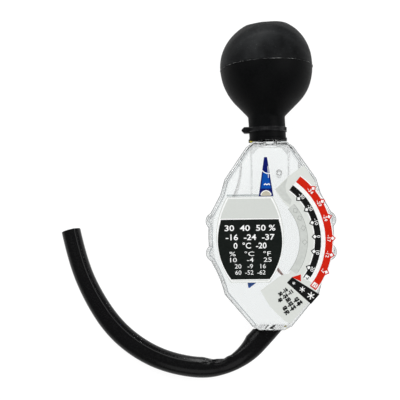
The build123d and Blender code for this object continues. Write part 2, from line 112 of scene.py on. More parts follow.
class Board:
    """Adds nodes to one node tree and joins them."""

    def __init__(self, tree: NodeTree) -> None:
        """Starts on a tree."""
        self.tree = tree

    def add(self, kind: str, **values: object) -> Node:
        """Adds a node.

        Args:
            kind: Name of the node type.
            values: Properties of the node, and its inputs by name with spaces as underscores.

        Returns:
            The new node.
        """
        node = self.tree.nodes.new(kind)
        for name, value in values.items():
            if hasattr(node, name):
                setattr(node, name, value)
            else:
                self.feed(node.inputs[name.replace("_", " ")], value)
        return node

    def feed(self, end: NodeSocket, value: object) -> None:
        """Gives an input a value, or joins it to the socket that has the value.

        Args:
            end: The input.
            value: The value, or the socket.
        """
        if isinstance(value, NodeSocket):
            self.tree.links.new(value, end)
        else:
            end.default_value = value

    def math(self, operation: str, *values: object) -> NodeSocket:
        """Adds a math node.

        Args:
            operation: What it does.
            values: Its inputs in order, each a number or a socket.

        Returns:
            Its result.
        """
        node = self.add("ShaderNodeMath", operation=operation)
        for end, value in zip(node.inputs, values):
            self.feed(end, value)
        return node.outputs[0]

    def ramp(self, source: NodeSocket, low: float = 0.0, high: float = 1.0, first: float = 0.0,
             last: float = 1.0) -> NodeSocket:
        """Spreads the part of a value between two bounds, low and high, from first to last."""
        bounds = {"From_Min": low, "From_Max": high, "To_Min": first, "To_Max": last}
        return self.add("ShaderNodeMapRange", Value=source, **bounds).outputs["Result"]


def group_shell(name: str, inputs: dict, outputs: tuple) -> tuple:
    """Makes an empty shader node group that reads coordinates.

    Args:
        name: Name of the group.
        inputs: Default values of its other inputs, by name.
        outputs: Names of its outputs.

    Returns:
        The group's board, the sockets that it reads and the sockets that it fills.
    """
    tree = bpy.data.node_groups.new(name, "ShaderNodeTree")
    tree.interface.new_socket("Coordinates", in_out="INPUT", socket_type="NodeSocketVector")
    for label, value in inputs.items():
        socket = tree.interface.new_socket(label, in_out="INPUT", socket_type="NodeSocketFloat")
        socket.default_value = value
    for label in outputs:
        tree.interface.new_socket(label, in_out="OUTPUT", socket_type="NodeSocketFloat")
    board = Board(tree)
    return board, board.add("NodeGroupInput").outputs, board.add("NodeGroupOutput").inputs


def moulded_grain() -> ShaderNodeTree:
    """Group for the fine grain of a moulded or printed surface.

    Returns:
        The group, with Height and Mask outputs.
    """
    board, given, wanted = group_shell("moulded_grain", {"Scale": 900.0}, ("Height", "Mask"))
    fine = board.add(
        "ShaderNodeTexNoise", Vector=given["Coordinates"], Scale=given["Scale"], Detail=3.0, Roughness=0.6
    ).outputs["Fac"]
    board.feed(wanted["Height"], fine)
    board.feed(wanted["Mask"], board.ramp(fine, *GRAIN_BOUNDS))
    return board.tree


def dust_and_sheen_mottle() -> ShaderNodeTree:
    """Group for pale specks and a cloud of dust that settle on a dark surface; its mask also mottles the
    bulb's painted sheen.

    Returns:
        The group, with a Mask output.
    """
    inputs = {"Speck Scale": 700.0, "Haze Scale": 45.0, "Amount": 0.5}
    board, given, wanted = group_shell("dust_and_sheen_mottle", inputs, ("Mask",))
    place = given["Coordinates"]
    specks = board.add("ShaderNodeTexVoronoi", feature="F1", Vector=place, Scale=given["Speck Scale"])
    haze_and_painted_sheen = board.add(
        "ShaderNodeTexNoise", Vector=place, Scale=given["Haze Scale"], Detail=5.0, Roughness=0.65
    )
    dots = board.ramp(specks.outputs["Distance"], *DOT_BOUNDS)
    cloud = board.ramp(haze_and_painted_sheen.outputs["Fac"], *CLOUD_BOUNDS)
    both = board.math("MULTIPLY_ADD", cloud, CLOUD_SHARE, board.math("MULTIPLY", dots, cloud))
    board.feed(wanted["Mask"], board.math("MULTIPLY", both, given["Amount"]))
    return board.tree


GRAIN = moulded_grain()
DUST_AND_SHEEN = dust_and_sheen_mottle()


class Surface:
    """A new material on Object coordinates, whose grain gives it roughness and height."""

    def __init__(self, name: str, scale: float, roughness: tuple, strength: float, height: float) -> None:
        """Starts the material.

        Args:
            name: Name of the material.
            scale: Scale of its grain.
            roughness: Roughness at the two ends of the grain.
            strength: Strength of the bump.
            height: Height of the grain.
        """
        self.material = bpy.data.materials.new(name)
        self.material.use_nodes = True
        self.board = Board(self.material.node_tree)
        self.inputs = self.material.node_tree.nodes["Principled BSDF"].inputs
        self.place = self.board.add("ShaderNodeTexCoord").outputs["Object"]
        grain = self.laid(GRAIN, Scale=scale)
        self.mask = grain["Mask"]
        bump = self.board.add("ShaderNodeBump", Strength=strength, Distance=height, Height=grain["Height"])
        self.fill(Roughness=self.board.ramp(self.mask, 0.0, 1.0, *roughness), Normal=bump.outputs["Normal"])

    def laid(self, group: ShaderNodeTree, **values: object) -> NodeOutputs:
        """Adds a shared group on the coordinates, and gives its outputs."""
        return self.board.add("ShaderNodeGroup", node_tree=group, Coordinates=self.place, **values).outputs

    def fill(self, **values: object) -> None:
        """Fills inputs of the shader, by name with spaces as underscores."""
        for name, value in values.items():
            self.board.feed(self.inputs[name.replace("_", " ")], value)

    def mixed(self, mask: NodeSocket, first: object, second: object) -> NodeSocket:
        """Mixes two colours by a mask.

        Args:
            mask: 0 for the first colour and 1 for the second.
            first: A colour, or the socket that gives one.
            second: The other colour.

        Returns:
            The mixed colour.
        """
        node = self.board.add("ShaderNodeMix", data_type="RGBA", Factor=mask)
        for slot, tone in zip(MIX_COLOURS, (first, second)):
            self.board.feed(node.inputs[slot], (*tone, 1.0) if isinstance(tone, tuple) else tone)
        return node.outputs[MIX_RESULT]


@dataclass(frozen=True)
class Haze:
    """Painted sheen: a cloudy lighter tone on the part of a surface that lies past a plane, standing in for
    the light that falls on the bulb's crown half past its seam.
    """

    amount: float = 1.1
    plane: tuple = (-0.035, 1.0019, 0.037)
    bounds: tuple = (0.06, 0.0614)
    scale: float = 30.0
    specks: float = 560.0

    def mask(self, surface: Surface) -> NodeSocket:
        """Makes the painted sheen's mask.

        Args:
            surface: The surface that it lies on.

        Returns:
            The mask, 0 before the plane.
        """
        board = surface.board
        past = board.add("ShaderNodeVectorMath", operation="DOT_PRODUCT")
        board.feed(past.inputs[0], surface.place)
        board.feed(past.inputs[1], self.plane)
        side = board.ramp(past.outputs["Value"], *self.bounds)
        cloud = surface.laid(DUST_AND_SHEEN, Amount=self.amount, Haze_Scale=self.scale, Speck_Scale=self.specks)
        return board.math("MULTIPLY", side, cloud["Mask"])


@dataclass(frozen=True)
class Finish:
    """A material with fine grain, dust where it is dark, and where given a painted sheen in the dust tone
    past a plane.

    The grain varies the colour between two tones and stands out by its height.
    """

    name: str
    tone: tuple
    second_tone: tuple
    roughness: float = 0.5
    grain_scale: float = 900.0
    grain_height: float = 0.00004
    dust: float = 0.0
    dust_and_sheen_tone: tuple = (0.2, 0.2, 0.2)
    metallic: float = 0.0
    coat: float = 0.0
    specular: float = 0.5
    roughness_spread: float = 0.08
    haze_and_painted_sheen: Haze | None = None

    def build(self) -> Material:
        """Makes the material.

        Returns:
            The material, read from Object coordinates.
        """
        ends = (self.roughness - self.roughness_spread, self.roughness + self.roughness_spread)
        surface = Surface(self.name, self.grain_scale, ends, 1.0, self.grain_height)
        colour = surface.mixed(surface.mask, self.tone, self.second_tone)
        if self.dust > 0:
            colour = surface.mixed(surface.laid(DUST_AND_SHEEN, Amount=self.dust)["Mask"], colour, self.dust_and_sheen_tone)
        # Painted sheen: the dust tone laid past a plane, lighter where light falls on the bulb's crown half.
        if self.haze_and_painted_sheen:
            colour = surface.mixed(self.haze_and_painted_sheen.mask(surface), colour, self.dust_and_sheen_tone)
        surface.fill(
            Base_Color=colour, Metallic=self.metallic, Coat_Weight=self.coat, Specular_IOR_Level=self.specular
        )
        return surface.material


@dataclass(frozen=True)
class ClearPlastic:
    """Clear styrene of the case, a little wavy from its mould."""

    name: str = "clear_styrene"
    tone: tuple = (0.977, 0.99, 0.989, 1.0)
    ior: float = 1.49
    roughness: float = 0.008
    wave_scale: float = 25.0
    wave_strength: float = 0.3
    wave_height: float = 0.00002

    def build(self) -> Material:
        """Makes the material.

        Returns:
            A plain transmissive material with a faint waviness.
        """
        ends = (self.roughness / 2, self.roughness * 2)
        surface = Surface(self.name, self.wave_scale, ends, self.wave_strength, self.wave_height)
        surface.fill(Base_Color=self.tone, Transmission_Weight=1.0, IOR=self.ior)
        return surface.material


# The bulb rubber carries a painted sheen: its half past the seam, towards the crown, is lighter, standing in
# for the light that falls there.
RUBBER = Finish(
    "bulb_rubber", (0.0012, 0.0014, 0.0016), (0.003, 0.0032, 0.0035), grain_scale=1400.0,
    grain_height=0.00005, dust=0.1, dust_and_sheen_tone=(0.06, 0.064, 0.067), specular=0.055, haze_and_painted_sheen=Haze(),
)
FLASH = Finish(
    "seam_rubber", (0.06, 0.061, 0.06), (0.75, 0.76, 0.75), roughness=0.7, grain_scale=420.0, dust=0.9,
    dust_and_sheen_tone=(0.75, 0.75, 0.74),
)
HOSE_RUBBER = Finish(
    "hose_rubber", (0.0018, 0.0018, 0.0021), (0.0034, 0.0034, 0.0037), roughness=0.22, grain_scale=1100.0,
    grain_height=0.00002, dust=0.1, dust_and_sheen_tone=(0.035, 0.035, 0.035), specular=0.14,
)
NYLON = Finish(
    "tie_nylon", (0.004, 0.004, 0.005), (0.006, 0.006, 0.007), roughness=0.36, grain_height=0.00002,
    specular=0.2,
)
PAPER = Finish(
    "label_film", (0.72, 0.745, 0.71), (0.735, 0.76, 0.725), roughness=0.45, grain_height=0.000004,
    specular=0.3,
)
NAME_PAPER = Finish(
    "name_film_paper", (0.655, 0.68, 0.65), (0.67, 0.695, 0.665), roughness=0.45, grain_height=0.000004,
    specular=0.2,
)
STEEL = Finish(
    "pin_steel", (0.55, 0.55, 0.56), (0.7, 0.7, 0.7), roughness=0.3, grain_scale=2000.0, metallic=1.0
)
BRASS = Finish("weight_brass", (0.62, 0.42, 0.17), (0.76, 0.55, 0.26), roughness=0.35, metallic=1.0)
# Float blue and pointer pink are painted lighter than their own colours: painted light that makes up for the
# light the clear case keeps from them.
FLOAT_BLUE_PAINTED_LIGHT = Finish("float_blue", (0.001, 0.13, 0.66), (0.002, 0.15, 0.72), roughness=0.4)
POINTER_RED_PAINTED_LIGHT = Finish("pointer_red", (0.9, 0.6, 0.55), (0.94, 0.66, 0.6), roughness=0.4)
# The weld's grey also colours the edge line, a strip of painted shade along the face's outer edge; the bluish
# grey face line is painted shade along the face's inner contour.
WELD_AND_EDGE_SHADE = Finish("weld_line", (0.13, 0.14, 0.14), (0.28, 0.3, 0.3), roughness=0.4, grain_scale=300.0)
FACE_LINE_SHADE = Finish("face_painted_shade_line", (0.2, 0.225, 0.24), (0.42, 0.46, 0.475), roughness=0.4, grain_scale=200.0)
RESIN = Finish("yellow_resin", (0.62, 0.5, 0.03), (0.75, 0.66, 0.1), roughness=0.25, coat=0.6)
CLEAR = ClearPlastic()
# The rib's grey tint is painted shadow: the line that the name label's top edge casts on the rear wall.
RIB_PAINTED_SHADOW = ClearPlastic(name="clear_rib_painted_shadow", tone=(0.55, 0.58, 0.58, 1.0))

MATERIALS: dict = {}


def material_of(finish: Finish | ClearPlastic | Ink) -> Material:
    """Gives a finish's or an ink's material, built once.

    Args:
        finish: The finish or the ink.

    Returns:
        The material.
    """
    if isinstance(finish, Ink):
        finish = ink_finish(finish)
    if finish.name not in MATERIALS:
        MATERIALS[finish.name] = finish.build()
    return MATERIALS[finish.name]


def ink_finish(ink: Ink) -> Finish:
    """Finish of one colour of the printing, a little uneven as thin ink is.

    Args:
        ink: The colour.

    Returns:
        The finish.
    """
    second = tuple(min(1.0, c * INK_SPREAD + INK_LIFT) for c in ink.value)
    return Finish(
        "ink_" + ink.name.lower(), ink.value, second, roughness=0.42, grain_scale=650.0,
        grain_height=0.000004, specular=0.08,
    )


# Mesh helpers


def linked(name: str, data: bpy.types.ID) -> Object:
    """Makes an object of some data in the scene.

    Args:
        name: Name of the object.
        data: Its data.

    Returns:
        The object.
    """
    made = bpy.data.objects.new(name, data)
    bpy.context.scene.collection.objects.link(made)
    return made


def mesh_from(bm: BMesh, name: str) -> bpy.types.Mesh:
    """Makes a mesh of a bmesh, which is freed.

    Args:
        bm: The bmesh.
        name: Name of the mesh.

    Returns:
        The mesh.
    """
    mesh = bpy.data.meshes.new(name)
    bm.to_mesh(mesh)
    bm.free()
    return mesh


def laid_down(bm: BMesh, name: str, finish: Finish | ClearPlastic | Ink,
              smooth: bool = False, turn: bool = True) -> Object:
    """Turns a mesh into a piece of the object that rides on the case.

    Args:
        bm: The mesh, in millimetres in the case frame, freed here.
        name: Name of the piece.
        finish: What it is made of.
        smooth: Whether its faces are shaded smooth.
        turn: Whether the mesh is in the case frame, and not in the row's.

    Returns:
        The new object.
    """
    if turn:
        bmesh.ops.transform(bm, matrix=CASE, verts=bm.verts)
    bmesh.ops.recalc_face_normals(bm, faces=bm.faces)
    mesh = mesh_from(bm, name)
    mesh.polygons.foreach_set("use_smooth", [smooth] * len(mesh.polygons))
    mesh.materials.append(material_of(finish))
    piece = linked(name, mesh)
    if smooth:
        mesh.set_sharp_from_angle(angle=SHARP)
    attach(piece, "case")
    LOG.info("piece %s", name)
    return piece


def dress(node: str, finish: Finish | ClearPlastic) -> None:
    """Gives a CAD node the material of a finish.

    Args:
        node: Name of the node.
        finish: The finish.
    """
    mesh = frame["nodes"][node].data
    mesh.materials.clear()
    mesh.materials.append(material_of(finish))
    LOG.info("piece %s", node)


def case_copy(node: str) -> BMesh:
    """Copies a CAD node's mesh, merged, into the case frame.

    Args:
        node: Name of the node.

    Returns:
        The copy.
    """
    bm = bmesh.new()
    bm.from_mesh(frame["nodes"][node].data)
    bmesh.ops.transform(bm, matrix=CASE.inverted(), verts=bm.verts)
    bmesh.ops.remove_doubles(bm, verts=bm.verts, dist=MERGE)
    return bm


def plate(bm: BMesh, faces: list, low: float, high: float) -> None:
    """Makes flat faces at Z = 0 into a plate.

    Args:
        bm: The mesh that holds them.
        faces: The faces.
        low: Height of the plate's underside.
        high: Height of its top.
    """
    top = bmesh.ops.extrude_face_region(bm, geom=faces, use_keep_orig=True)
    raised = [g for g in top["geom"] if isinstance(g, BMVert)]
    lower = {v for f in faces for v in f.verts}
    bmesh.ops.translate(bm, vec=(0, 0, low), verts=list(lower))
    bmesh.ops.translate(bm, vec=(0, 0, high), verts=raised)


def prism(bm: BMesh, points: list, low: float, high: float) -> None:
    """Adds a plate whose outline is a polygon across the case."""
    plate(bm, [bm.faces.new([bm.verts.new((p[0], p[1], 0.0)) for p in points])], low, high)


def turned(bm: BMesh, points: list, closed: bool, steps: int) -> None:
    """Turns a line of radius and height round the Y axis.

    Args:
        bm: The mesh that takes the surface.
        points: The line.
        closed: Whether the line's end joins its start.
        steps: How many parts the turn has.
    """
    line = [bm.verts.new((radius, height, 0.0)) for radius, height in points]
    pairs = zip(line, line[1:] + line[:1]) if closed else zip(line, line[1:])
    edges = [bm.edges.new(pair) for pair in pairs]
    bmesh.ops.spin(
        bm, geom=line + edges, cent=(0, 0, 0), axis=(0, 1, 0), angle=math.tau, steps=steps, use_merge=True
    )
    bmesh.ops.remove_doubles(bm, verts=bm.verts, dist=MERGE)


def mesh_of(curve: bpy.types.Curve) -> bpy.types.Mesh:
    """Turns a curve into a mesh, and removes the curve.

    Args:
        curve: The curve.

    Returns:
        The mesh.
    """
    holder = bpy.data.objects.new(curve.name, curve)
    mesh = bpy.data.meshes.new_from_object(holder)
    bpy.data.objects.remove(holder)
    bpy.data.curves.remove(curve)
    return mesh


def heading(angle: float) -> Vector:
    """Direction across the face at an angle in degrees."""
    turn = math.radians(angle)
    return Vector((math.cos(turn), math.sin(turn), 0.0))


def polar(reach: float, angle: float) -> Vector:
    """Point at a distance and an angle in degrees from the pivot."""
    return PIVOT + heading(angle) * reach


def arc_points(centre: tuple, radius: float, first: float, last: float, steps: int) -> list:
    """Points along an arc, from the angle first to the angle last in degrees, in so many steps."""
    spread = [math.radians(first + (last - first) * i / steps) for i in range(steps + 1)]
    return [(centre[0] + radius * math.cos(a), centre[1] + radius * math.sin(a)) for a in spread]


def bowed(start: tuple, bulge: float, end: tuple, steps: int = 20) -> list:
    """Points on a shallow arc between two points, its last one left out.

    Args:
        start: Where it starts.
        bulge: How far its middle stands out to the right of the way from start to end.
        end: Where it ends.
        steps: How many parts it has.

    Returns:
        The points.
    """
    a, b = Vector(start), Vector(end)
    side = Vector((b.y - a.y, a.x - b.x)).normalized()
    shares = [i / steps for i in range(steps)]
    return [tuple(a.lerp(b, t) + side * bulge * 4 * t * (1 - t)) for t in shares]


def way_at(line: list, index: int) -> Vector:
    """Direction of a line of points at one of them."""
    return (line[min(index + 1, len(line) - 1)] - line[max(index - 1, 0)]).normalized()


def bell(x: float, middle: float, spread: float) -> float:
    """A smooth hump of height 1."""
    return math.exp(-(((x - middle) / spread) ** 2))


def step(x: float, low: float, high: float) -> float:
    """A smooth step from 0 at low to 1 at high."""
    t = min(1.0, max(0.0, (x - low) / (high - low)))
    return t * t * (3 - 2 * t)


# Bulb, tie and hose


@dataclass
class OnSpout:
    """Sizes that the bulb and its tie share, and their place on the case's spout."""

    top: float = 50.3
    neck: float = 19.8
    tie_rise: float = 7.1
    tie_width: float = 2.4
    tie_sink: float = 0.5
    lean: float = 0.4
    shift: float = 0.95

    def place(self, bm: BMesh, rise: float = 0.0) -> None:
        """Leans a mesh as the bulb leans, and sets it on the case or at a rise above it."""
        turn = Matrix.Rotation(math.radians(self.lean), 4, "Z") @ Matrix.Translation((0, rise, 0))
        bmesh.ops.transform(bm, matrix=Matrix.Translation((-self.shift, self.top, 0)) @ turn, verts=bm.verts)


@dataclass
class Bulb(OnSpout):
    """Squeeze bulb with its neck, its ragged seam and the soft flat on its crown.

    An arc is its height, its spread and how far it stands out, the first two as shares of the
    radius. A wave of the seam is its scale, its seed and its size. The seam's slope is its climb
    across, its lift and its climb towards the front.
    """

    diameter: float = 50.1
    rise: float = 41.4
    lower_radius: float = 28.6
    cone_angle: float = 46.0
    neck_lip: float = 0.5
    lip_length: float = 1.4
    lip_round: float = 0.3
    groove_round: float = 0.2
    fillet: tuple = ((0.0, -1.0), (0.15, -0.35), (0.6, 0.3))
    bore: float = 7.7
    bore_depth: float = 12.5
    foot_lift: float = 0.8
    foot_slope: float = 0.03
    belly_steps: int = 22
    crown_steps: int = 34
    crown_start: float = 1.5
    crown_height: float = 1.035
    crown_lean: float = 1.3
    crown_bend: float = 1.5
    flat_depth: float = 3.05
    flat_turn: float = -4.0
    flat_share: float = 0.88
    cone_shift: float = 0.5
    cone_range: tuple = (-1.0, 0.35)
    slack: float = 0.35
    slack_scale: float = 0.06
    slack_seed: tuple = (3.1, 0.4, 7.7)
    slack_from: float = 12.0
    slack_run: float = 12.0
    axis_gap: float = 0.5
    arcs: tuple = ((0.82, 0.06, 0.75), (0.66, 0.045, -0.5))
    arc_bend: float = 0.6
    arc_middle: float = 0.03
    arc_reach: float = 0.55
    seam_height: float = 0.4
    seam_width: float = 0.8
    seam_root: float = 0.35
    seam_thickness: float = 0.66
    seam_slope: tuple = (0.035, -1.36, 0.072)
    seam_waves: tuple = ((9.0, 2.0, 0.5), (40.0, 5.0, 0.45))
    seam_base: float = 0.55
    seam_wander: float = 0.12
    sides: int = 128

    def profile(self) -> list:
        """Half section of the bulb.

        Returns:
            Points as distance from the axis and height above the case, from the end of the
            neck's bore round the outside to the crown.
        """
        radius = self.diameter / 2
        neck = self.neck / 2
        groove = neck - self.tie_sink
        lower = self.lower_radius
        belly = arc_points((radius - lower, self.rise), lower, -self.cone_angle, 0, self.belly_steps)
        corner = belly[0][1] - (belly[0][0] - neck) / math.tan(math.radians(self.cone_angle))
        low, high = self.tie_rise - self.tie_width / 2, self.tie_rise + self.tie_width / 2
        lip = neck + self.neck_lip
        foot = self.foot_lift + lip * math.tan(math.radians(self.lean))
        stem = [
            (0.0, self.bore_depth), (self.bore, self.bore_depth), (self.bore, foot), (lip, foot),
            (lip, foot + self.lip_length), (neck, foot + self.lip_length + self.lip_round), (neck, low),
            (groove, low + self.groove_round), (groove, high - self.groove_round), (neck, high),
        ]
        stem += [(neck + out, corner + up) for out, up in self.fillet]
        seam = [(radius, self.rise - self.seam_width / 2), (radius, self.rise + self.seam_width / 2)]
        arc = arc_points((0.0, 0.0), radius, self.crown_start, 90.0, self.crown_steps)
        crown = [(max(0.0, x), self.rise + self.crown_height * y) for x, y in arc]
        return stem + belly[1:-1] + seam + crown

    def build(self) -> None:
        """Turns the section, finishes it and adds the seam."""
        bm = bmesh.new()
        turned(bm, self.profile(), False, self.sides)
        self.cut_flat(bm)
        self.slacken(bm)
        self.place(bm)
        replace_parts(laid_down(bm, "bulb_skin", RUBBER, smooth=True), "rubber_bulb")
        self.seam_line()

    def cut_flat(self, bm: BMesh) -> None:
        """Presses most of the crown past a plane down to it.

        Args:
            bm: The turned bulb.
        """
        normal = heading(90.0 - self.flat_turn)
        point = Vector((0, self.rise, 0)) + normal * (self.diameter / 2 * self.crown_height - self.flat_depth)
        for v in bm.verts:
            v.co -= normal * max(0.0, (v.co - point).dot(normal)) * self.flat_share

    def slacken(self, bm: BMesh) -> None:
        """Draws the crown aside and gives the soft wall its slight unevenness, none at the neck.

        Args:
            bm: The bulb with its flat.
        """
        for v in bm.verts:
            height = (v.co.y - self.rise) * 2 / self.diameter
            v.co.x += self.crown_lean * max(0.0, height) ** self.crown_bend
            v.co.x -= self.cone_shift * bell(height, *self.cone_range)
            if v.co.y < self.tie_rise - self.tie_width:
                v.co.y += self.foot_slope * v.co.x
            share = min(1.0, max(0.0, (v.co.y - self.slack_from) / self.slack_run))
            swell = noise.noise(v.co * self.slack_scale + Vector(self.slack_seed)) * self.slack
            swell += self.creased(v.co, height)
            out = Vector((v.co.x, 0, v.co.z))
            if out.length > self.axis_gap:
                v.co += out.normalized() * swell * share

    def creased(self, spot: Vector, height: float) -> float:
        """How far the soft arcs below the crown stand out at a spot of the front.

        Args:
            spot: The spot.
            height: Its height above the widest place, as a share of the radius.

        Returns:
            The distance.
        """
        aside = spot.x * 2 / self.diameter - self.arc_middle
        bent = height + self.arc_bend * aside**2
        rises = sum(size * bell(bent, middle, spread) for middle, spread, size in self.arcs)
        return rises * bell(aside, 0.0, self.arc_reach) * (spot.z > 0)

    def seam_line(self) -> None:
        """Adds the ragged flash that the mould left along the seam."""
        bm = bmesh.new()
        radius = self.diameter / 2
        flat = Matrix.Translation((0, self.rise, 0)) @ Matrix.Rotation(math.radians(90), 4, "X")
        bmesh.ops.create_circle(bm, segments=self.sides * 4, radius=radius - self.seam_root, matrix=flat)
        grown = bmesh.ops.extrude_edge_only(bm, edges=list(bm.edges))
        for v in [g for g in grown["geom"] if isinstance(g, BMVert)]:
            angle = math.atan2(v.co.z, v.co.x)
            x, z = math.cos(angle), math.sin(angle)
            waves = [noise.noise(Vector((x * scale, z * scale, seed))) for scale, seed, _ in self.seam_waves]
            ragged = sum(wave * size for wave, (_, _, size) in zip(waves, self.seam_waves))
            reach = radius + self.seam_height * (self.seam_base + ragged)
            v.co = Vector((x * reach, self.rise + self.seam_wander * waves[1], z * reach))
        bmesh.ops.solidify(bm, geom=list(bm.faces), thickness=self.seam_thickness)
        across, fall, forward = self.seam_slope
        for v in bm.verts:
            climb = across * v.co.x + fall + forward * v.co.z
            shrunk = math.sqrt(radius**2 - climb**2) / radius
            v.co = Vector((v.co.x * shrunk, v.co.y + self.seam_thickness / 2 + climb, v.co.z * shrunk))
        self.place(bm)
        laid_down(bm, "bulb_seam_flash", FLASH)


@dataclass
class NeckTie(OnSpout):
    """Cable tie round the neck: ridged strap, cut tail, and a ratchet head of a length, width and depth."""

    thickness: float = 1.0
    rim: float = 0.45
    edge: float = 0.15
    groove: float = 0.3
    ridge: float = 0.22
    ridges: int = 84
    head: tuple = (4.4, 3.3, 4.6)
    head_sink: float = 0.2
    point: float = 1.45
    tail: float = 1.4
    stub: float = 0.4
    tail_width: float = 0.9

    def build(self) -> None:
        """Builds the tie as one moulding."""
        bm = bmesh.new()
        self.strap(bm)
        self.head_and_tail(bm)
        self.place(bm, self.tie_rise)
        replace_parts(laid_down(bm, "neck_tie", NYLON), "cable_tie")

    def strap(self, bm: BMesh) -> None:
        """Adds the strap, with a raised rim on each side of its ridges.

        Args:
            bm: The empty mesh that takes it.
        """
        inner = self.neck / 2 - self.tie_sink
        outer = inner + self.thickness
        floor = outer - self.groove
        half = self.tie_width / 2
        upper = [(floor, half - self.rim), (outer, half - self.rim), (outer, half - self.edge),
                 (outer - self.edge, half), (inner, half)]
        turned(bm, [(r, -h) for r, h in reversed(upper)] + upper, True, self.ridges * 2)
        for v in bm.verts:
            reach = math.hypot(v.co.x, v.co.z)
            in_groove = abs(v.co.y) < half - self.rim / 2 and abs(reach - floor) < self.edge / 3
            count = round(math.atan2(v.co.z, v.co.x) / math.tau * self.ridges * 2)
            if in_groove and count % 2:
                grown = 1 + self.ridge / reach
                v.co = Vector((v.co.x * grown, v.co.y, v.co.z * grown))

    def head_and_tail(self, bm: BMesh) -> None:
        """Adds the pointed ratchet head, and the strap's ends that stand out of it.

        Args:
            bm: The mesh that takes them.
        """
        length, width, depth = self.head
        x = -(self.neck / 2 + length / 2 - self.head_sink)
        back, front = x + length / 2, x - length / 2
        side, tip = width / 2, width / 2 - self.point
        outline = [(back, -side), (back, side), (front + self.point, side), (front, tip), (front, -tip),
                   (front + self.point, -side)]
        prism(bm, outline, -depth / 2, depth / 2)
        for reach in (depth / 2 + self.tail, -(depth / 2 + self.stub)):
            size = (self.thickness, self.tie_width * self.tail_width, abs(reach), 1.0)
            box = Matrix.Translation((x, 0, reach / 2)) @ Matrix.Diagonal(size)
            bmesh.ops.create_cube(bm, size=1.0, matrix=box)


